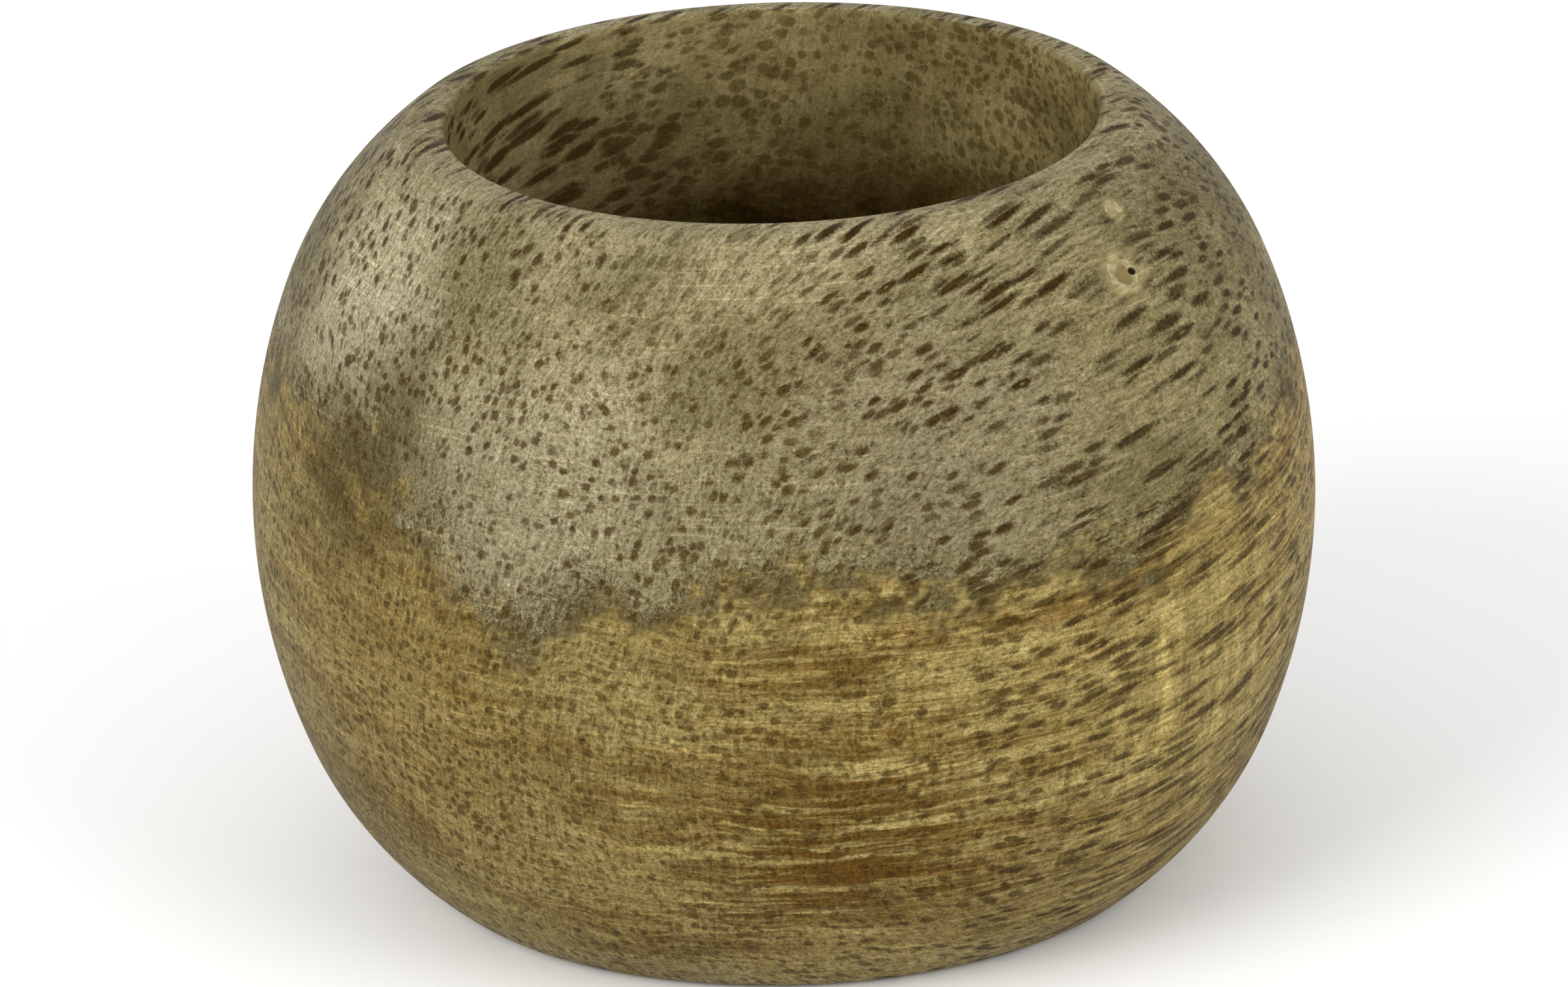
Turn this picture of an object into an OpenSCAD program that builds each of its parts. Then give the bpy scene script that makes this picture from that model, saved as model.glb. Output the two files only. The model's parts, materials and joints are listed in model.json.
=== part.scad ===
// Turned wooden napkin ring: a squashed ball with a wide straight bore, and two pinholes
// in the right shoulder that are stopped with filler.
// Frame: origin at the middle of the foot, +Z up along the bore, -Y towards the front.
// All lengths are in millimetres and all angles in degrees.

/* [Ring] */
// Largest outer diameter, at mid-height
outer_d = 50; // [49:0.5:56]
// Height from the foot face to the rim face
height = 37; // [34:0.5:37.5]
// Diameter of the straight bore
bore_d = 30.5; // [26:0.5:31]

/* [Outline] */
// Radius of the belly arc, whose centre lies on the mid-plane
belly_r = 29; // [27:0.5:32]
// Slope angle at which the belly arc meets the shoulder arcs
belly_angle = 21.5; // [18:0.5:25]
// Radius of the shoulder arcs above and below the belly
shoulder_r = 17.5; // [17:0.5:20]
// Radius that rounds each shoulder into its end face
lip_r = 2; // [1:0.25:2.25]
// Chamfer that breaks the two sharp edges of the bore
edge_break = 0.25; // [0.1:0.05:0.5]

/* [Stopped pinholes] */
// Diameter of the wider pinhole
wide_pinhole_d = 1.5; // [1:0.1:2]
// Diameter of the narrow pinhole
narrow_pinhole_d = 0.8; // [0.5:0.1:1.2]
// Depth of both pinholes, measured along their axes
pinhole_depth = 2.2; // [1.5:0.1:3]
// Angle at which both pinholes climb towards their mouths
pinhole_climb = 20; // [10:1:30]

/* [Hidden] */
$fn = 128;

wood_colour = [0.55, 0.48, 0.32];
wide_filler_colour = [0.76, 0.68, 0.50];
narrow_filler_colour = [0.80, 0.73, 0.57];

outer_r = outer_d / 2;
bore_r = bore_d / 2;
half_height = height / 2;

// The outline is three arcs that meet smoothly: each centre lies on the radius shared
// with the arc before it. Each arc stands proud of the one before it by a hair where they
// meet, so that they cross there. Heights here are measured from the mid-plane.
hair = 0.001;
belly_x = outer_r - belly_r;
shoulder_reach = belly_r - shoulder_r + hair;
shoulder_x = belly_x + shoulder_reach * cos(belly_angle);
shoulder_z = shoulder_reach * sin(belly_angle);
belly_top_z = belly_r * sin(belly_angle);
lip_reach = shoulder_r - lip_r + hair;
lip_z = half_height - lip_r;
lip_x = shoulder_x + sqrt(pow(lip_reach, 2) - pow(lip_z - shoulder_z, 2));
lip_slope = atan2(lip_z - shoulder_z, lip_x - shoulder_x);
shoulder_top_z = shoulder_z + shoulder_r * sin(lip_slope);

// Outer radius of the shoulder at a height above the foot
function shoulder_radius(z) =
    shoulder_x + sqrt(pow(shoulder_r, 2) - pow(z - half_height - shoulder_z, 2));

// Pinholes: angle round the ring (0 is +X, -90 is the front) and height of each mouth
wide_pinhole_angle = -40;
wide_pinhole_z = height - 3.8;
narrow_pinhole_angle = -34;
narrow_pinhole_z = height - 1.6;
pinhole_overshoot = 1.5;

// Everything below a height, and above it only what lies inside a disc or inwards of
// its centre
module rounded_above(height_from, x, z, r) {
    translate([0, -half_height]) square([2 * outer_r, half_height + height_from]);
    translate([0, -half_height]) square([x, height]);
    translate([x, z]) circle(r);
}

// Half section of the ball, right of the axis: the belly disc, rounded at both ends by
// the shoulder arc and then by the lip arc
module outline() {
    intersection() {
        translate([belly_x, 0]) circle(belly_r);
        rounded_above(belly_top_z, shoulder_x, shoulder_z, shoulder_r);
        rounded_above(shoulder_top_z, lip_x, lip_z, lip_r);
        mirror([0, 1]) rounded_above(belly_top_z, shoulder_x, shoulder_z, shoulder_r);
        mirror([0, 1]) rounded_above(shoulder_top_z, lip_x, lip_z, lip_r);
    }
}

// Solid turned ball with flat ends, standing on its foot
module turned_blank() {
    translate([0, 0, half_height])
        rotate_extrude() outline();
}

// Straight hole through the ring, opening into a small chamfer at each face
module bore() {
    translate([0, 0, -1]) cylinder(h = height + 2, r = bore_r);
    for (end = [0, 1])
        translate([0, 0, end * height])
            mirror([0, 0, end])
                translate([0, 0, -edge_break])
                    cylinder(h = 2 * edge_break, r1 = bore_r + 2 * edge_break, r2 = bore_r);
}

// Drill shape of one blind pinhole: it starts outside its mouth and runs back and down
module pinhole(angle, z, d) {
    mouth_r = shoulder_radius(z);
    translate([mouth_r * cos(angle), mouth_r * sin(angle), z])
        rotate([90 - pinhole_climb, 0, 0])
            translate([0, 0, -pinhole_depth])
                cylinder(h = pinhole_depth + pinhole_overshoot, d = d);
}

module wide_pinhole() {
    pinhole(wide_pinhole_angle, wide_pinhole_z, wide_pinhole_d);
}

module narrow_pinhole() {
    pinhole(narrow_pinhole_angle, narrow_pinhole_z, narrow_pinhole_d);
}

// The ring itself, turned from one piece of wood
module ring_body() {
    color(wood_colour)
        difference() {
            turned_blank();
            bore();
            wide_pinhole();
            narrow_pinhole();
        }
}

// Filler in the wider pinhole, sanded flush with the shoulder
module wide_filler_plug() {
    color(wide_filler_colour)
        intersection() {
            turned_blank();
            wide_pinhole();
        }
}

// Filler in the narrow pinhole, sanded flush with the shoulder
module narrow_filler_plug() {
    color(narrow_filler_colour)
        intersection() {
            turned_blank();
            narrow_pinhole();
        }
}

ring_body();
wide_filler_plug();
narrow_filler_plug();
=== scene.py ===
import json
import math

import bpy
from mathutils import Matrix, Vector, noise


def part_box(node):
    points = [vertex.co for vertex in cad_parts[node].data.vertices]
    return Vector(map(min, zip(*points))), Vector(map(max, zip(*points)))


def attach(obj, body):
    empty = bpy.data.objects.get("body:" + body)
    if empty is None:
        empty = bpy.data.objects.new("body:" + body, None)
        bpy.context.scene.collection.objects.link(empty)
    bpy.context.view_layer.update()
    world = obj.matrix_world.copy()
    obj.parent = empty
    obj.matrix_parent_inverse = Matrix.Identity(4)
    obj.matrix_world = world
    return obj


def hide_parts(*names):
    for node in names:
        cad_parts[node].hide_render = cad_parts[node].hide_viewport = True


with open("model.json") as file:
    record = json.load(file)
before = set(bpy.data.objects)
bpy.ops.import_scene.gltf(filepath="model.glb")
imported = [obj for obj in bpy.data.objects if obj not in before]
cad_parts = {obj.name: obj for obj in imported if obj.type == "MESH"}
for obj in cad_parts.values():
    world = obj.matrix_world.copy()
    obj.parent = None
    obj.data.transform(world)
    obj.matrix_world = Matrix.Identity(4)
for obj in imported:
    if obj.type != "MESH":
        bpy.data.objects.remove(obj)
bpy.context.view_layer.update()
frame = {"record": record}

MM = 0.001

# ---------------------------------------------------------------- sizes from the frame

ring_low, ring_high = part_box("ring_body")
OUTER_R = (ring_high.x - ring_low.x) / 2
HEIGHT = ring_high.z - ring_low.z
MID_Z = (ring_high.z + ring_low.z) / 2
HALF_HEIGHT = HEIGHT / 2
BORE_MOUNT = next(mount for mount in frame["record"]["mounts"] if mount["name"] == "bore")
BORE_R = BORE_MOUNT["dims"]["r_mm"] * MM

# The turned outline: the same three arcs as the CAD ring
BELLY_R = 29 * MM
BELLY_ANGLE = math.radians(21.5)
SHOULDER_R = 17.5 * MM
LIP_R = 2 * MM
EDGE_BREAK = 0.25 * MM

# Hand sanding leaves the outside uneven by up to this depth. The waves are noise: one unit of
# it is this high, and one turn of the ring follows a circle of this radius in it.
UNEVENNESS = 0.05 * MM
WAVE_HEIGHT = 9 * MM
WAVE_CIRCLE = 1.6

# How finely the surface is divided
BELLY_STEPS = 18
SHOULDER_STEPS = 60
LIP_STEPS = 12
EDGE_STEPS = 6
BORE_ROWS = 24
COLUMNS = 360
HOLE_TURNS = 72
CAP_RINGS = 14

# The filled pinholes: degrees round the ring, height above the foot, the size of the filler on
# the surface and how square its outline is. The shares of that size say how far a tan core
# reaches and where a void lies; 0 means that there is none. The seed varies the lumps.
WIDE_PINHOLE = {
    "angle": -40, "height": HEIGHT - 3.8 * MM, "half_width": 1.0 * MM, "half_height": 0.74 * MM,
    "squareness": 2.3, "seed": 4.7, "core_share": 0.55, "void_share": 0.62,
}
NARROW_PINHOLE = {
    "angle": -34, "height": HEIGHT - 1.6 * MM, "half_width": 0.54 * MM, "half_height": 0.38 * MM,
    "squareness": 4.0, "seed": 9.3, "core_share": 0.0, "void_share": 0.0,
}
SKIRT_DEPTH = 0.9 * MM

# Half the height over which a slope of the outline is measured
NUDGE = 0.05 * MM

# The wood's own directions: along the grain, and across and along the growth layers
GRAIN = Vector((0.64, 0.755, 0.14)).normalized()
LAYER_TILT = Vector((0.04, -0.22, 0.975))
ACROSS_LAYERS = (LAYER_TILT - GRAIN * GRAIN.dot(LAYER_TILT)).normalized()
ALONG_LAYERS = ACROSS_LAYERS.cross(GRAIN).normalized()


# ---------------------------------------------------------------- shader building

def srgb(red, green, blue):
    """Display colour in 0..255 steps to the linear colour that a shader takes."""
    def linear(step):
        c = step / 255
        return c / 12.92 if c <= 0.04045 else ((c + 0.055) / 1.055) ** 2.4
    return (linear(red), linear(green), linear(blue), 1.0)


class Graph:
    """Adds shader nodes to a new material. Most of its methods return an output socket."""

    def __init__(self, name):
        self.material = bpy.data.materials.new(name)
        self.material.use_nodes = True
        self.tree = self.material.node_tree
        self.tree.nodes.clear()

    def node(self, kind, inputs, **settings):
        """A new node. Each input is linked if its value is a socket, and set if it isn't."""
        node = self.tree.nodes.new("ShaderNode" + kind)
        for key, value in settings.items():
            setattr(node, key, value)
        for key, value in inputs.items():
            if isinstance(value, bpy.types.NodeSocket):
                self.tree.links.new(value, node.inputs[key])
            else:
                node.inputs[key].default_value = value
        return node

    def math(self, operation, *values):
        """One step of arithmetic."""
        return self.node("Math", dict(enumerate(values)), operation=operation).outputs[0]

    def total(self, *values):
        """The sum of any number of values."""
        result = values[0]
        for value in values[1:]:
            result = self.math("ADD", result, value)
        return result

    def product(self, *values):
        """The product of any number of values."""
        result = values[0]
        for value in values[1:]:
            result = self.math("MULTIPLY", result, value)
        return result

    def vector(self, operation, *values):
        """One step of vector arithmetic."""
        node = self.node("VectorMath", dict(enumerate(values)), operation=operation)
        return node.outputs["Value" if operation in ("DOT_PRODUCT", "LENGTH") else "Vector"]

    def scaled(self, vector, x, y, z):
        """A vector with each part multiplied by a factor of its own."""
        return self.vector("MULTIPLY", vector, (x, y, z))

    def away(self, place, spot):
        """Distance from a place to a fixed spot."""
        return self.vector("LENGTH", self.vector("SUBTRACT", place, tuple(spot)))

    def combine(self, x, y, z):
        return self.node("CombineXYZ", {"X": x, "Y": y, "Z": z}).outputs[0]

    def split(self, vector):
        return self.node("SeparateXYZ", {0: vector}).outputs

    def noise(self, vector, detail=2.0, roughness=0.5, output="Fac"):
        """Smooth noise, about 0.5 on average."""
        inputs = {"Vector": vector, "Scale": 1.0, "Detail": detail, "Roughness": roughness}
        return self.node("TexNoise", inputs).outputs[output]

    def cells(self, vector, randomness):
        """Distance to the nearest random point, and that point's random colour."""
        node = self.node("TexVoronoi", {"Vector": vector, "Scale": 1.0, "Randomness": randomness})
        return node.outputs["Distance"], node.outputs["Color"]

    def ramp(self, value, start, end, low=0.0, high=1.0):
        """Smooth step from low at start to high at end."""
        inputs = {"Value": value, "From Min": start, "From Max": end, "To Min": low, "To Max": high}
        return self.node("MapRange", inputs, interpolation_type="SMOOTHSTEP").outputs[0]

    def swing(self, value, strength):
        """A noise value moved to swing about zero by a strength."""
        return self.math("MULTIPLY", self.math("SUBTRACT", value, 0.5), strength)

    def mix(self, factor, first, second):
        """From the first colour at 0 to the second at 1. The sockets are the node's colour ones."""
        return self.node("Mix", {0: factor, 6: first, 7: second}, data_type="RGBA").outputs[2]

    def brightened(self, colour, gain):
        """A colour made brighter by a share, or darker by a negative one."""
        inputs = {0: colour, "Scale": self.total(gain, 1.0)}
        return self.node("VectorMath", inputs, operation="SCALE").outputs[0]

    def surface(self, height, bump_strength, bump_depth, values):
        """The finished material, from a height for the bump and values for the shader."""
        inputs = {"Height": height, "Strength": bump_strength, "Distance": bump_depth}
        bump = self.node("Bump", inputs).outputs[0]
        shader = self.node("BsdfPrincipled", {"Normal": bump, **values})
        self.node("OutputMaterial", {"Surface": shader.outputs[0]})
        return self.material


# ---------------------------------------------------------------- camera, light, floor

CAMERA_DISTANCE = 0.625
CAMERA_ELEVATION = math.radians(20.4)
CAMERA_ROLL = math.radians(1.9)
CAMERA_LENS = 305.1
SENSOR_WIDTH = 36
AIM = Vector((0.0, 0.0, MID_Z - 0.36 * MM))

# Each soft box: name, place, width and power in watts
SOFT_BOXES = (
    ("key_soft_box", (-0.34, -0.34, 0.28), 0.34, 1.9),
    ("fill_soft_box", (0.40, -0.34, 0.26), 0.40, 1.3),
)
WALL_BRIGHTNESS = 1.05
CEILING_BRIGHTNESS = 0.70

FLOOR_REACH = 3.0
FLOOR_ALBEDO = 0.97
FLOOR_GLOW = 0.3


def make_camera():
    """A long lens looking along +Y and down, rolled a little clockwise."""
    camera = bpy.data.objects.new("camera", bpy.data.cameras.new("camera"))
    bpy.context.scene.collection.objects.link(camera)
    back = Vector((0, -math.cos(CAMERA_ELEVATION), math.sin(CAMERA_ELEVATION)))
    level_right = Vector((1, 0, 0))
    level_up = back.cross(level_right)
    right = level_right * math.cos(CAMERA_ROLL) - level_up * math.sin(CAMERA_ROLL)
    up = back.cross(right)
    camera.matrix_world = Matrix.LocRotScale(
        AIM + back * CAMERA_DISTANCE, Matrix((right, up, back)).transposed().to_quaternion(), None
    )
    camera.data.sensor_width = SENSOR_WIDTH
    camera.data.lens = CAMERA_LENS
    camera.data.clip_start = 0.01
    camera.data.clip_end = 10
    bpy.context.scene.camera = camera


def make_soft_box(name, place, size, watts):
    """A square area light aimed at the middle of the ring."""
    light = bpy.data.objects.new(name, bpy.data.lights.new(name, "AREA"))
    bpy.context.scene.collection.objects.link(light)
    light.data.shape = "SQUARE"
    light.data.size = size
    light.data.energy = watts
    light.location = place
    light.rotation_mode = "QUATERNION"
    light.rotation_quaternion = (Vector((0, 0, MID_Z)) - Vector(place)).to_track_quat("-Z", "Y")


def make_room():
    """A white room whose ceiling is dimmer than its walls."""
    world = bpy.data.worlds.new("studio")
    world.use_nodes = True
    nodes, links = world.node_tree.nodes, world.node_tree.links
    direction = nodes.new("ShaderNodeTexCoord")
    split = nodes.new("ShaderNodeSeparateXYZ")
    dimming = nodes.new("ShaderNodeMapRange")
    dimming.inputs["From Min"].default_value = 0.15
    dimming.inputs["From Max"].default_value = 0.9
    dimming.inputs["To Min"].default_value = WALL_BRIGHTNESS
    dimming.inputs["To Max"].default_value = CEILING_BRIGHTNESS
    links.new(direction.outputs["Generated"], split.inputs[0])
    links.new(split.outputs["Z"], dimming.inputs["Value"])
    links.new(dimming.outputs[0], nodes["Background"].inputs["Strength"])
    nodes["Background"].inputs["Color"].default_value = (1.0, 1.0, 1.0, 1.0)
    bpy.context.scene.world = world
    bpy.context.scene.view_settings.view_transform = "Standard"


def make_floor():
    """A pale seamless floor, far larger than the view, that glows into the white room far away."""
    low, high = -FLOOR_REACH, FLOOR_REACH
    mesh = bpy.data.meshes.new("floor")
    mesh.from_pydata([(low, low, 0), (high, low, 0), (high, high, 0), (low, high, 0)], [], [(0, 1, 2, 3)])
    floor = bpy.data.objects.new("floor", mesh)
    bpy.context.scene.collection.objects.link(floor)
    graph = Graph("pale_floor")
    from_ring = graph.vector("LENGTH", graph.node("TexCoord", {}).outputs["Object"])
    shader = graph.node("BsdfPrincipled", {
        "Base Color": (FLOOR_ALBEDO, FLOOR_ALBEDO, FLOOR_ALBEDO, 1),
        "Emission Color": (1, 1, 1, 1),
        "Emission Strength": graph.ramp(from_ring, 0.3, 1.2, 0.0, FLOOR_GLOW),
        "Roughness": 0.9,
        "Specular IOR Level": 0.0,
    })
    graph.node("OutputMaterial", {"Surface": shader.outputs[0]})
    mesh.materials.append(graph.material)


# ---------------------------------------------------------------- the turned outline

def arc(centre_r, centre_z, radius, start, end, steps):
    """Points (radius, height above mid-plane) along an arc, both ends included."""
    angles = [start + (end - start) * i / steps for i in range(steps + 1)]
    return [(centre_r + radius * math.cos(a), centre_z + radius * math.sin(a)) for a in angles]


def upper_outline():
    """From the belly's widest point up over the shoulder and the lip to the bore's edge."""
    reach = BELLY_R - SHOULDER_R
    belly_c = OUTER_R - BELLY_R
    shoulder_c = (belly_c + reach * math.cos(BELLY_ANGLE), reach * math.sin(BELLY_ANGLE))
    lip_z = HALF_HEIGHT - LIP_R
    rise = lip_z - shoulder_c[1]
    lip_c = shoulder_c[0] + math.sqrt((SHOULDER_R - LIP_R) ** 2 - rise ** 2)
    lip_slope = math.atan2(rise, lip_c - shoulder_c[0])
    points = arc(belly_c, 0, BELLY_R, 0, BELLY_ANGLE, BELLY_STEPS)
    points += arc(*shoulder_c, SHOULDER_R, BELLY_ANGLE, lip_slope, SHOULDER_STEPS)[1:]
    points += arc(lip_c, lip_z, LIP_R, lip_slope, math.pi / 2, LIP_STEPS)[1:]
    edge_c = (BORE_R + EDGE_BREAK, HALF_HEIGHT - EDGE_BREAK)
    points += arc(*edge_c, EDGE_BREAK, math.pi / 2, math.pi, EDGE_STEPS)
    return points


OUTLINE = upper_outline()


def outline_radius(height):
    """Radius of the outside at a height above the foot."""
    level = abs(height - MID_Z)
    low, high = next(pair for pair in zip(OUTLINE, OUTLINE[1:]) if pair[1][1] >= level)
    share = (level - low[1]) / (high[1] - low[1])
    return low[0] + (high[0] - low[0]) * share


def outline_run(height):
    """How much the outline's radius grows over two nudges of height."""
    return outline_radius(height + NUDGE) - outline_radius(height - NUDGE)


def on_circle(angle, radius, third):
    """A vector with its first two parts on a circle."""
    return Vector((radius * math.cos(angle), radius * math.sin(angle), third))


def inset(angle, radius, height):
    """How far hand sanding has taken the skin in: nothing at the bore, a few hundredths outside."""
    fade = min(max((radius - BORE_R) / (3 * MM), 0), 1)
    wave = noise.noise(on_circle(angle, WAVE_CIRCLE, height / WAVE_HEIGHT))
    return UNEVENNESS * fade * (0.5 + 0.5 * wave)


def skin_point(angle, height, sunk=0.0):
    """A point on the outside at an angle and a height, sunk below the skin by a depth."""
    slope = outline_run(height) / (2 * NUDGE)
    radius = outline_radius(height)
    radius -= inset(angle, radius, height)
    normal = on_circle(angle, 1, -slope).normalized()
    return on_circle(angle, radius, height) - normal * sunk


# ---------------------------------------------------------------- wood

# Stain patches, and patches of painted sheen and painted bounce light: where on the outside (degrees round
# the ring, height), and how far they reach
# Paler wood on the left shoulder and lip, with painted sheen over it
PALE_SHOULDER = (-119, 27 * MM, 8.5 * MM)
PALE_LIP = (-152, 32.5 * MM, 7 * MM)
DARK_SMUDGE = (-145, 25 * MM, 7 * MM)
GREY_FRONT = (-72, 29 * MM, 10 * MM)
WORN_RIM = (-100, 36 * MM, 7 * MM)
FRONT_DIP = (-122, 19.5 * MM, 7 * MM)
FRONT_RISE = (-88, 21.5 * MM, 8.5 * MM)
LEFT_RISE = (-152, 24 * MM, 7.5 * MM)
RUST_LEFT = (-136, 16 * MM, 11 * MM)
DUSK_LEFT = (-160, 7 * MM, 11 * MM)
BROWN_FOOT = (-86, 8 * MM, 12 * MM)
# Painted bounce light from the floor along the foot
PAINTED_BOUNCE_FOOT = (-80, 1 * MM, 8 * MM)
PALE_RIGHT = (-42, 14 * MM, 9 * MM)

# Colours of the stains, of the painted sheen and of the painted bounce light, from dark to pale where a
# stain has two
GREYS_ON_LEFT = (srgb(105, 96, 65), srgb(131, 121, 89))
GREYS_ON_RIGHT = (srgb(98, 88, 56), srgb(120, 110, 75))
SHOULDER_PALE_AND_SHEEN = srgb(141, 131, 100)
LIP_PALE_AND_SHEEN = srgb(156, 147, 117)
FRONT_GREY = srgb(116, 106, 77)
GOLDS_ON_LEFT = (srgb(91, 74, 36), srgb(117, 104, 62))
GOLDS_ON_RIGHT = (srgb(94, 75, 35), srgb(120, 105, 61))
RUST_BAND = srgb(116, 82, 32)
STREAKS = (srgb(80, 60, 19), srgb(141, 125, 75))
LINES = (srgb(70, 50, 10), srgb(142, 126, 75))
RUST = srgb(108, 84, 36)
DUSK = srgb(88, 74, 42)
BROWN_FLAME = srgb(76, 52, 9)
FOOT_BOUNCE_LIGHT = srgb(140, 124, 76)
RIBBED_GOLD = srgb(138, 122, 72)
DARK_LINE = srgb(62, 51, 21)
RUBBED_LIP = srgb(146, 136, 104)
# Painted shade deep in the bore
BORE_PAINTED_SHADE = srgb(30, 17, 0)
SIDE_GRAIN_PORE = srgb(48, 33, 3)
END_GRAIN_PORE = srgb(60, 44, 9)
# Painted glints in the pores
PORE_GLINT = srgb(150, 136, 92)
FILLER_POWDER = srgb(148, 136, 94)

# Tints by which colours are multiplied: outside the bore, and for the bore's painted shade near its ends and
# deep in it
NO_TINT = (1, 1, 1, 1)
SHALLOW_SHADE_TINT = (1.08, 1.03, 0.9, 1)
DEEP_SHADE_TINT = (1.0, 0.86, 0.5, 1)

# Where the grey wood ends, measured across the growth layers in millimetres
ZONE_LEVEL = 26.3

# Pores: spacing across the grain in millimetres, length over spacing, thickness of the thinnest
# and the thickest as shares of the spacing, and a shift that keeps two sets apart
LARGE_PORES = (0.60, 8.0, 0.32, 0.46, (0, 0, 0))
SMALL_PORES = (0.56, 8.0, 0.14, 0.42, (31, 17, 5))


class WoodSpace:
    """Places in the wood, and the noises that several layers of the material share."""

    def __init__(self, graph):
        self.graph = graph
        self.place = graph.node("TexCoord", {}).outputs["Object"]
        x, y, self.z = graph.split(self.place)
        self.radius = graph.vector("LENGTH", graph.combine(x, y, 0.0))
        self.inside = graph.ramp(self.radius, BORE_R + 0.3 * MM, BORE_R + 0.1 * MM)
        self.outside = graph.math("SUBTRACT", 1.0, self.inside)
        self.rightwards = graph.ramp(x, -20 * MM, 20 * MM)
        self.from_middle = graph.math("ABSOLUTE", graph.math("SUBTRACT", self.z, MID_Z))

        # Millimetres across the layers, along the layers and along the grain
        axes = [tuple(axis / MM) for axis in (ACROSS_LAYERS, ALONG_LAYERS, GRAIN)]
        parts = [graph.vector("DOT_PRODUCT", self.place, axis) for axis in axes]
        self.across = parts[0]
        straight = graph.combine(*parts)
        bend = self.swerve(straight, 0.09, 0.03, 3.0)
        wobble = self.swerve(straight, 0.6, 0.12, 0.5)
        self.wood = graph.vector("ADD", graph.vector("ADD", straight, bend), wobble)

        self.cloud = graph.noise(graph.scaled(self.wood, 0.16, 0.16, 0.10), 3.0, 0.6)
        self.ragged = graph.noise(graph.scaled(self.wood, 0.46, 0.36, 0.24), 4.0, 0.72)
        self.speckle = graph.noise(graph.scaled(self.wood, 6.5, 6.5, 4.5), 2.0, 1.0)

    def swerve(self, straight, across, along, reach):
        """A sideways swerve of the grain, for a number of swerves per millimetre."""
        field = self.graph.noise(self.graph.scaled(straight, across, across, along), 1.0, output="Color")
        centred = self.graph.vector("SUBTRACT", field, (0.5, 0.5, 0.5))
        return self.graph.scaled(centred, reach, reach, 0.0)

    def patch(self, spot):
        """A soft blot with a ragged edge: 1 at its middle, 0 beyond its reach."""
        angle, height, reach = spot
        away = self.graph.away(self.place, skin_point(math.radians(angle), height))
        away = self.graph.total(
            self.graph.math("DIVIDE", away, reach),
            self.graph.swing(self.ragged, 1.0),
        )
        return self.graph.ramp(away, 1.0, 0.25)

    def stained(self, colour, spot, strength, stain):
        """A colour with a stain patch over it."""
        return self.graph.mix(self.graph.product(self.patch(spot), strength), colour, stain)

    def except_inside(self, value, share):
        """A value that is cut to a share inside the bore."""
        return self.graph.product(value, self.graph.ramp(self.inside, 0.0, 1.0, 1.0, share))


def height_above_line(graph, space):
    """Millimetres above the ragged line where the grey wood meets the golden wood."""
    return graph.total(
        graph.math("SUBTRACT", space.across, ZONE_LEVEL),
        graph.swing(space.cloud, 3.0),
        graph.swing(space.ragged, 9.5),
        graph.swing(space.speckle, 3.5),
        graph.product(space.patch(FRONT_DIP), 2.8),
        graph.product(space.patch(FRONT_RISE), -1.8),
        graph.product(space.patch(LEFT_RISE), -2.4),
        graph.product(space.inside, 9.0),
    )


def grey_wood(graph, space, above):
    """Clouds of paler and darker stain, paler on one side, with painted sheen on the left shoulder and lip,
    and dusky just above the line.
    """
    cloudy = graph.ramp(space.cloud, 0.36, 0.64)
    left = graph.mix(cloudy, *GREYS_ON_LEFT)
    right = graph.mix(cloudy, *GREYS_ON_RIGHT)
    colour = graph.mix(space.rightwards, left, right)
    # Paler wood with painted sheen on the left shoulder and lip
    colour = space.stained(colour, PALE_SHOULDER, 0.8, SHOULDER_PALE_AND_SHEEN)
    colour = space.stained(colour, PALE_LIP, 0.8, LIP_PALE_AND_SHEEN)
    colour = space.stained(colour, GREY_FRONT, 1.0, FRONT_GREY)
    dusk = graph.product(graph.ramp(above, 9.5, 4.0, 0.0, -0.20), graph.ramp(space.rightwards, 0.95, 0.6))
    return graph.brightened(colour, dusk)


def lined(graph, colour, value, amount, pale_span, dark_span, shades):
    """Pale lines where a noise is high and dark ones where it is low."""
    dark, pale = shades
    colour = graph.mix(graph.product(graph.ramp(value, 0.50, 0.50 + pale_span), amount), colour, pale)
    return graph.mix(graph.product(graph.ramp(value, 0.48, 0.48 - dark_span), amount), colour, dark)


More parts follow.
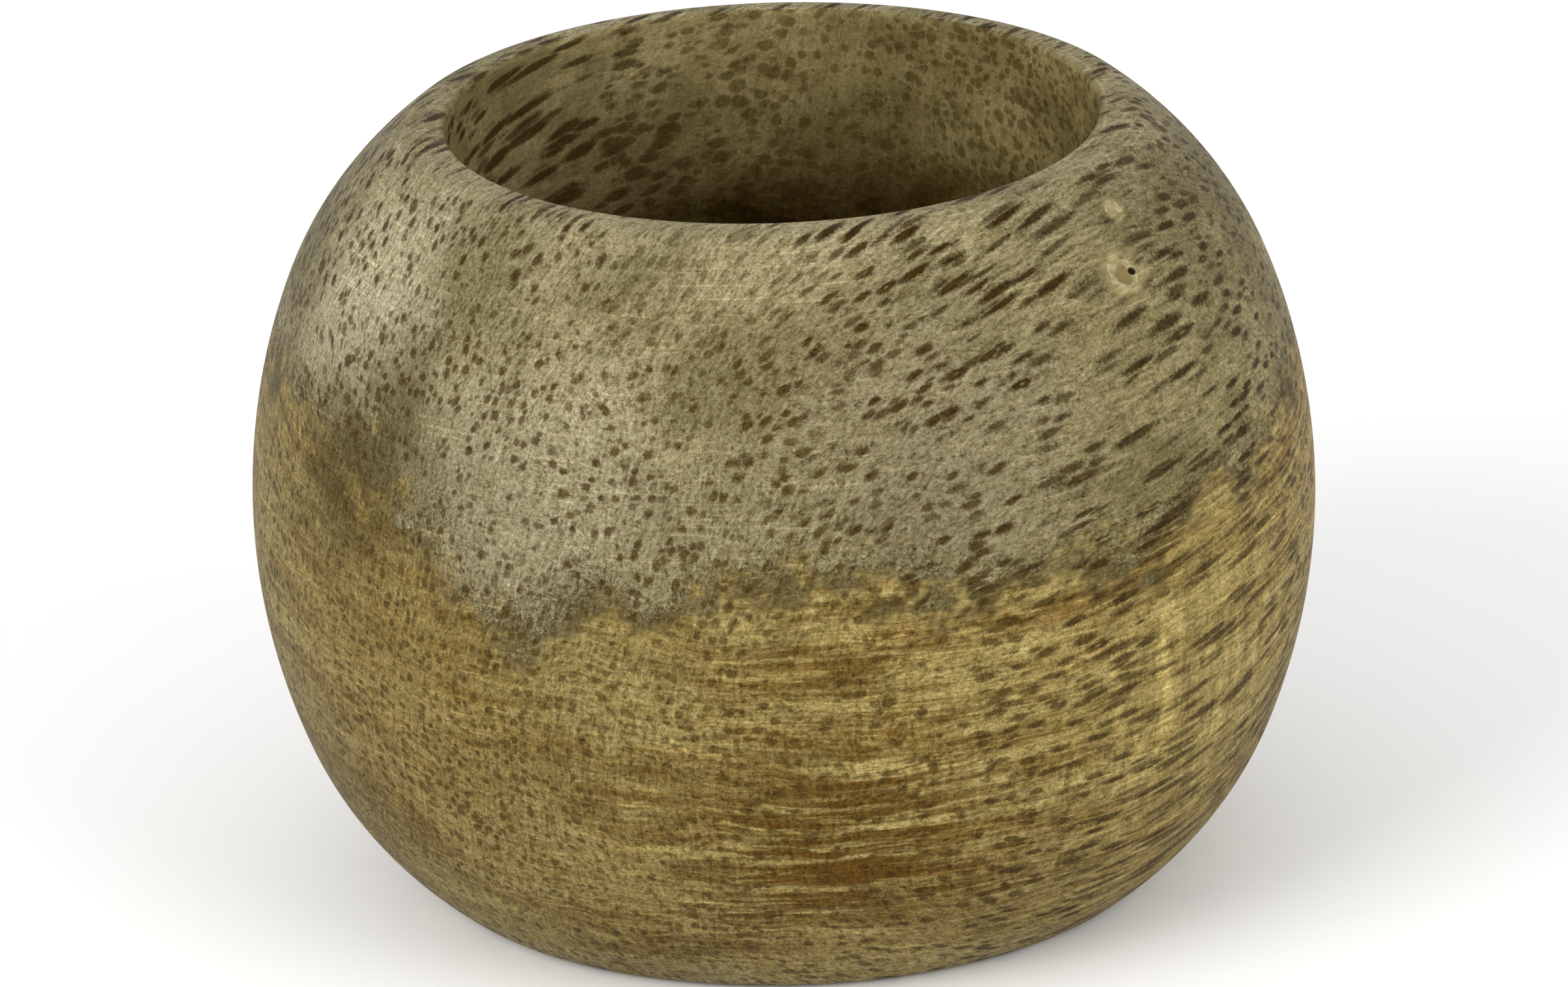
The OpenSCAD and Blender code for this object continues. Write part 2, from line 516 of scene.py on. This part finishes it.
def golden_wood(graph, space, above):
    """Broad bands, streaks and fine lines of the growth layers, ribbed and paler on one side, with painted
    bounce light along the foot.
    """
    bands = graph.noise(graph.scaled(space.wood, 0.45, 0.09, 0.04), 3.0, 0.65)
    streaks = graph.noise(graph.scaled(space.wood, 1.6, 0.17, 0.08), 3.0, 0.7)
    lines = graph.noise(graph.scaled(space.wood, 4.4, 0.45, 0.24), 2.0, 0.7)
    rust = graph.noise(graph.scaled(space.wood, 0.9, 0.14, 0.07), 2.0, 0.6)
    ribs = graph.noise(graph.scaled(space.wood, 0.2, 0.4, 1.6), 1.0, 0.5)

    banded = graph.ramp(bands, 0.32, 0.62)
    left = graph.mix(banded, *GOLDS_ON_LEFT)
    right = graph.mix(banded, *GOLDS_ON_RIGHT)
    colour = graph.mix(space.rightwards, left, right)
    clear = graph.ramp(space.rightwards, 0.05, 0.7, 0.4, 0.7)
    colour = graph.mix(graph.product(graph.ramp(rust, 0.50, 0.68), clear, 0.5), colour, RUST_BAND)
    colour = lined(graph, colour, streaks, clear, 0.20, 0.16, STREAKS)
    colour = lined(graph, colour, lines, graph.product(clear, 0.75), 0.16, 0.14, LINES)

    colour = space.stained(colour, RUST_LEFT, 0.28, RUST)
    colour = space.stained(colour, DUSK_LEFT, 0.45, DUSK)
    flame = graph.product(space.patch(BROWN_FOOT), graph.ramp(streaks, 0.64, 0.42), 0.95)
    colour = graph.mix(flame, colour, BROWN_FLAME)
    # Painted bounce light from the floor along the foot
    colour = space.stained(colour, PAINTED_BOUNCE_FOOT, 0.55, FOOT_BOUNCE_LIGHT)
    colour = space.stained(colour, PALE_RIGHT, 0.5, RIBBED_GOLD)
    colour = graph.brightened(colour, graph.product(graph.swing(ribs, 1.2), space.patch(PALE_RIGHT)))
    glow = graph.product(graph.ramp(above, -15.0, -8.0, 0.0, 0.16), graph.ramp(space.rightwards, 0.45, 0.75))
    return graph.brightened(colour, glow)


def spindles(graph, space, pores):
    """Spindles along the grain, each with a thickness of its own: mask, depth and random parts."""
    spacing, stretch, thin, wide, shift = pores
    shifted = graph.vector("ADD", space.wood, shift)
    stretched = graph.scaled(shifted, 1 / spacing, 1 / spacing, 1 / (spacing * stretch))
    distance, colour = graph.cells(stretched, 0.8)
    chance = graph.split(colour)
    thickness = graph.ramp(chance[0], 0.0, 1.0, thin, wide)
    depth = graph.total(
        graph.math("DIVIDE", distance, thickness),
        graph.swing(space.speckle, 0.5),
        graph.product(space.inside, -0.2),
    )
    return graph.ramp(depth, 1.16, 0.50), depth, chance


def with_pores(graph, space, colour, grey, front):
    """Dark spindles that show as dots on end grain and as dashes along it, some with a painted glint in
    their middle.
    """
    normal = graph.node("NewGeometry", {}).outputs["Normal"]
    end_grain = graph.math("ABSOLUTE", graph.vector("DOT_PRODUCT", normal, tuple(GRAIN)))
    end_grain = graph.ramp(end_grain, 0.12, 0.82)

    # End grain cuts through more spindles than side grain does, so some are left out there
    large, depth, chance = spindles(graph, space, LARGE_PORES)
    small = spindles(graph, space, SMALL_PORES)[0]
    kept = graph.math("SUBTRACT", graph.ramp(end_grain, 0.0, 1.0, 1.05, 0.72), chance[2])
    large = graph.product(large, graph.ramp(kept, -0.05, 0.05))
    pores = graph.math("MAXIMUM", large, graph.product(small, 0.82))

    crowding = graph.noise(graph.scaled(space.wood, 0.5, 0.35, 0.1), 1.0)
    outside_strength = graph.product(
        graph.ramp(crowding, 0.30, 0.60, 0.88, 1.0),
        graph.ramp(space.patch(WORN_RIM), 0.0, 1.0, 1.0, 0.55),
        graph.math("MAXIMUM", graph.ramp(grey, 0.0, 1.0, 0.85, 1.0), front),
        graph.ramp(end_grain, 0.0, 1.0, 1.0, 0.90),
    )
    bore_strength = graph.ramp(space.rightwards, 0.05, 0.5, 0.9, 0.65)
    strength = graph.total(
        graph.product(outside_strength, space.outside),
        graph.product(bore_strength, space.inside),
    )
    pore_colour = graph.mix(end_grain, SIDE_GRAIN_PORE, END_GRAIN_PORE)
    colour = graph.mix(graph.product(pores, strength), colour, pore_colour)
    # Painted glints: pale specks in the middle of some pores, on side grain outside the bore
    painted_glint = graph.product(
        graph.ramp(depth, 0.26, 0.08),
        graph.ramp(chance[1], 0.76, 0.82),
        graph.ramp(end_grain, 0.0, 0.5, 0.5, 0.0),
        space.outside,
    )
    return graph.mix(painted_glint, colour, PORE_GLINT), pores


def with_powder(graph, space, colour, hole):
    """Pale powder rubbed into the grain round a filled pinhole."""
    away = graph.away(space.place, filler_point(hole, 0, 0))
    away = graph.total(graph.math("DIVIDE", away, hole["half_width"]), graph.swing(space.speckle, 1.8))
    return graph.mix(graph.ramp(away, 1.55, 0.75, 0.0, 0.8), colour, FILLER_POWDER)


def with_fine_grain(graph, space, colour):
    """Speckle, fibres and rays, whose dark side is warmer. The bore shows less of them."""
    fibre = graph.noise(graph.scaled(space.wood, 5.0, 5.0, 0.7), 2.0, 0.7)
    rays = graph.noise(graph.scaled(space.wood, 0.35, 5.5, 1.5), 1.0, 0.5)
    grain = graph.total(graph.swing(space.speckle, 2.4), graph.swing(fibre, 1.3), graph.swing(rays, 0.9))
    grain = graph.total(space.except_inside(grain, 0.6), 1.0)
    grain = graph.math("MAXIMUM", grain, 0.25)
    tinted = graph.combine(grain, graph.math("POWER", grain, 1.1), graph.math("POWER", grain, 1.45))
    return graph.vector("MULTIPLY", colour, tinted)


def with_sanding_marks(graph, space, colour):
    """Fine pale scratches round the ring, in drifts: the colour and the marks."""
    across = 8 / MM
    along = 0.28 / MM
    round_ring = graph.combine(graph.product(space.radius, across), graph.product(space.z, across), 0.0)
    round_ring = graph.vector("ADD", round_ring, graph.scaled(space.place, along, along, along))
    marks = graph.ramp(graph.noise(round_ring, 1.0), 0.54, 0.76)
    drift = space.except_inside(graph.ramp(space.cloud, 0.38, 0.58, 0.14, 0.42), 0.3)
    return graph.brightened(colour, graph.product(marks, drift)), marks


def with_rubbed_lips(graph, space, colour):
    """The two lips are rubbed paler in places."""
    lips = graph.product(
        graph.ramp(space.from_middle, HALF_HEIGHT - 3 * MM, HALF_HEIGHT - 0.3 * MM),
        graph.ramp(space.ragged, 0.35, 0.6, 0.05, 0.4),
        space.outside,
    )
    return graph.mix(lips, colour, RUBBED_LIP)


def with_painted_bore_shade(graph, space, colour):
    """Painted shade in the bore: it darkens and grows warmer with depth, mottled, and much less on the left
    wall.
    """
    # Painted shade: darker with depth, mottled, and much less on the left wall
    bore_shade = graph.total(
        graph.ramp(space.from_middle, HALF_HEIGHT - 4 * MM, HALF_HEIGHT - 12 * MM, 0.0, 0.92),
        graph.ramp(space.ragged, 0.42, 0.60, 0.0, 0.22),
    )
    bore_shade = graph.product(bore_shade, graph.ramp(space.rightwards, 0.0, 0.45, 0.12, 1.0))
    bore_shade = graph.product(space.inside, graph.math("MINIMUM", bore_shade, 0.95))
    colour = graph.mix(bore_shade, colour, BORE_PAINTED_SHADE)
    tint = graph.mix(bore_shade, SHALLOW_SHADE_TINT, DEEP_SHADE_TINT)
    return graph.vector("MULTIPLY", colour, graph.mix(space.inside, NO_TINT, tint))


def make_wood():
    """Spalted wood, from its broad zones down to its sanding marks."""
    graph = Graph("spalted_wood")
    space = WoodSpace(graph)
    above = height_above_line(graph, space)
    grey = graph.ramp(above, -0.9, 1.1)
    front = graph.ramp(graph.math("ABSOLUTE", graph.math("SUBTRACT", above, 0.4)), 1.5, 0.0)
    colour = graph.mix(grey, golden_wood(graph, space, above), grey_wood(graph, space, above))

    line = graph.product(front, graph.ramp(space.ragged, 0.36, 0.56), 0.75)
    smudge = graph.product(space.patch(DARK_SMUDGE), graph.ramp(space.ragged, 0.30, 0.56), 0.8)
    colour = graph.mix(graph.math("MAXIMUM", line, smudge), colour, DARK_LINE)
    colour = with_rubbed_lips(graph, space, colour)
    colour = with_painted_bore_shade(graph, space, colour)
    colour, pores = with_pores(graph, space, colour, grey, front)
    for hole in (WIDE_PINHOLE, NARROW_PINHOLE):
        colour = with_powder(graph, space, colour, hole)
    colour = with_fine_grain(graph, space, colour)
    colour, marks = with_sanding_marks(graph, space, colour)

    relief = graph.total(graph.product(space.speckle, 0.6), graph.product(marks, 0.2))
    return graph.surface(graph.math("SUBTRACT", relief, pores), 0.4, 0.06 * MM, {
        "Base Color": colour,
        "Roughness": graph.ramp(space.speckle, 0.3, 0.7, 0.60, 0.46),
        "Specular IOR Level": 0.1,
        "IOR": 1.35,
    })


# ---------------------------------------------------------------- filler

# How soft the edge of the core is, as a share of the filler's half height, and the void's radius
CORE_EDGE = 0.1
VOID_R = 0.27 * MM
CHALK = (srgb(134, 122, 82), srgb(162, 150, 109))
CORE_TAN = srgb(116, 99, 56)
# The seam round the core, with painted shade in it
CORE_SEAM_AND_SHADE = srgb(88, 72, 36)
# Painted shade in the void where the filler has shrunk
VOID_PAINTED_SHADE = srgb(40, 30, 12)


def make_filler(name, hole):
    """Pale chalky filler with a tan core ringed by a dark seam with painted shade in it and, where it has
    shrunk, a void darkened with painted shade.
    """
    graph = Graph(name)
    place = graph.node("TexCoord", {}).outputs["Object"]
    grit = graph.noise(graph.scaled(place, 9 / MM, 9 / MM, 9 / MM), 3.0, 0.8)
    lumps = graph.noise(graph.scaled(place, 2.2 / MM, 2.2 / MM, 2.2 / MM), 2.0, 0.6)
    colour = graph.mix(graph.ramp(lumps, 0.35, 0.65), *CHALK)
    if hole["core_share"]:
        away = graph.math("DIVIDE", graph.away(place, filler_point(hole, 0, 0)), hole["half_height"])
        away = graph.total(away, graph.swing(lumps, 0.4))
        inner, outer = hole["core_share"] - CORE_EDGE, hole["core_share"] + CORE_EDGE
        colour = graph.mix(graph.ramp(away, outer, inner, 0.0, 0.9), colour, CORE_TAN)
        # A dark ring along the core's edge: the seam, with painted shade in it
        from_seam = graph.math("ABSOLUTE", graph.math("SUBTRACT", away, hole["core_share"] + 0.05))
        colour = graph.mix(graph.ramp(from_seam, 0.18, 0.0, 0.0, 0.55), colour, CORE_SEAM_AND_SHADE)
    if hole["void_share"]:
        middle = filler_point(hole, hole["void_share"], 0, 0.1 * MM)
        away = graph.math("DIVIDE", graph.away(place, middle), VOID_R)
        away = graph.total(away, graph.swing(lumps, 1.2))
        # Painted shade in the void where the filler has shrunk
        colour = graph.mix(graph.ramp(away, 1.0, 0.7), colour, VOID_PAINTED_SHADE)
    return graph.surface(grit, 0.5, 0.04 * MM, {
        "Base Color": graph.brightened(colour, graph.swing(grit, 0.8)),
        "Roughness": graph.ramp(lumps, 0.3, 0.7, 0.85, 0.7),
        "Specular IOR Level": 0.25,
    })


def filler_point(hole, across, up, sunk=0.0):
    """A point on the filler: shares of its half width and half height from its middle."""
    # The half height lies along the slope, and climb is how much of it is upright
    middle_r = outline_radius(hole["height"])
    angle = math.radians(hole["angle"]) + across * hole["half_width"] / middle_r
    climb = 2 * NUDGE / math.hypot(outline_run(hole["height"]), 2 * NUDGE)
    return skin_point(angle, hole["height"] + up * hole["half_height"] * climb, sunk)


def blob(turn, squareness, seed):
    """Radius of an irregular outline at a turn: round for a squareness of 2, squarer above."""
    across, up = abs(math.cos(turn)), abs(math.sin(turn))
    plain = (across ** squareness + up ** squareness) ** (-1 / squareness)
    rough = noise.fractal(on_circle(turn, 1.6, seed), 1.0, 2.0, 3)
    return plain * (1 + 0.26 * rough)


def filler_height(share, turn, hole):
    """How far the filler stands proud: a raised rim, a dished middle, lumps and the void."""
    # The parts are in millimetres, and only their sum is scaled
    rim = 0.05 * math.exp(-((share - 0.78) / 0.2) ** 2) - 0.02
    lumps = 0.03 * noise.noise(on_circle(turn, 3 * share, hole["seed"]))
    void = 0.0
    if hole["void_share"]:
        away = math.hypot(share * math.cos(turn) - hole["void_share"], share * math.sin(turn))
        void = 0.35 * max(0.0, 1 - (away / 0.24) ** 2)
    edge = 0.03 * max(0.0, (share - 0.9) / 0.1) ** 2
    return (rim + lumps - void - edge) * MM


def closed_shell(name, first, levels, last):
    """A closed mesh from loops of points between two end points, the outermost side first."""
    turns = len(levels[0])
    vertices = [first] + [point for level in levels for point in level] + [last]
    end = len(vertices) - 1
    start = end - turns
    faces = [(0, 1 + k, 1 + (k + 1) % turns) for k in range(turns)]
    faces += [(end, start + (k + 1) % turns, start + k) for k in range(turns)]
    for level in range(len(levels) - 1):
        corner = 1 + level * turns
        for k in range(turns):
            after = (k + 1) % turns
            faces.append((corner + k, corner + turns + k, corner + turns + after, corner + after))
    mesh = bpy.data.meshes.new(name)
    mesh.from_pydata(vertices, [], faces)
    return mesh


def hole_loop(hole, share, sunk):
    """A loop of points round a pinhole at a share of its outline; sunk is a depth for each turn."""
    points = []
    for k in range(HOLE_TURNS):
        turn = 2 * math.pi * k / HOLE_TURNS
        reach = share * blob(turn, hole["squareness"], hole["seed"])
        points.append(filler_point(hole, reach * math.cos(turn), reach * math.sin(turn), sunk(turn)))
    return points


def filler_mesh(name, hole):
    """A closed plug: an irregular cap on the skin, a skirt below it and a flat end."""
    levels = []
    for i in range(1, CAP_RINGS + 1):
        share = i / CAP_RINGS
        levels.append(hole_loop(hole, share, lambda turn: -filler_height(share, turn, hole)))
    levels.append(hole_loop(hole, 0.96, lambda turn: 0.3 * MM))
    levels.append(hole_loop(hole, 0.90, lambda turn: SKIRT_DEPTH))
    top = filler_point(hole, 0, 0, -filler_height(0, 0, hole))
    mesh = closed_shell(name, top, levels, filler_point(hole, 0, 0, SKIRT_DEPTH))
    mesh.shade_smooth()
    mesh.set_sharp_from_angle(angle=math.radians(50))
    return mesh


def drill(ring, hole):
    """Cuts a pinhole out of the ring. Its filler laps over the edge by a hair."""
    above, below, lap = -0.6 * MM, 1.3 * MM, 0.97
    levels = [hole_loop(hole, lap, lambda turn: above), hole_loop(hole, lap, lambda turn: below)]
    shell = closed_shell("cutter", filler_point(hole, 0, 0, above), levels, filler_point(hole, 0, 0, below))
    cutter = bpy.data.objects.new("cutter", shell)
    bpy.context.scene.collection.objects.link(cutter)
    cut = ring.modifiers.new("pinhole", "BOOLEAN")
    cut.operation = "DIFFERENCE"
    cut.solver = "EXACT"
    cut.object = cutter
    depsgraph = bpy.context.evaluated_depsgraph_get()
    drilled = bpy.data.meshes.new_from_object(ring.evaluated_get(depsgraph))
    ring.modifiers.clear()
    ring.data = drilled
    bpy.data.objects.remove(cutter)


def add_piece(name, mesh, node):
    """A piece that rides with the ring and stands for a CAD node."""
    piece = bpy.data.objects.new(name, mesh)
    bpy.context.scene.collection.objects.link(piece)
    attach(piece, "root")
    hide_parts(node)
    return piece


def finish_with(piece, material):
    """Gives a piece one material."""
    piece.data.materials.clear()
    piece.data.materials.append(material)


# ---------------------------------------------------------------- the turned ring

def ring_section():
    """Closed section, anticlockwise: up the outside, over the rim and down the bore."""
    lower = [(radius, -level) for radius, level in reversed(OUTLINE[1:])]
    top, bottom = OUTLINE[-1][1], lower[0][1]
    bore = [(BORE_R, top + (bottom - top) * i / BORE_ROWS) for i in range(1, BORE_ROWS)]
    return lower + OUTLINE + bore


def ring_mesh():
    """The section swept round the axis, with its outside made slightly uneven."""
    section = ring_section()
    rows = len(section)
    vertices, faces = [], []
    for column in range(COLUMNS):
        angle = 2 * math.pi * column / COLUMNS
        for radius, level in section:
            height = MID_Z + level
            vertices.append(on_circle(angle, radius - inset(angle, radius, height), height))
    for column in range(COLUMNS):
        here, beside = column * rows, (column + 1) % COLUMNS * rows
        for row in range(rows):
            after = (row + 1) % rows
            faces.append((here + row, beside + row, beside + after, here + after))
    mesh = bpy.data.meshes.new("turned_ring")
    mesh.from_pydata(vertices, [], faces)
    mesh.shade_smooth()
    return mesh


make_camera()
for soft_box in SOFT_BOXES:
    make_soft_box(*soft_box)
make_room()
make_floor()

ring = add_piece("turned_ring", ring_mesh(), "ring_body")
for name, hole in (("wide_filler", WIDE_PINHOLE), ("narrow_filler", NARROW_PINHOLE)):
    drill(ring, hole)
    filler = add_piece(name, filler_mesh(name, hole), name + "_plug")
    finish_with(filler, make_filler(name + "_paste", hole))
ring.data.set_sharp_from_angle(angle=math.radians(40))
finish_with(ring, make_wood())
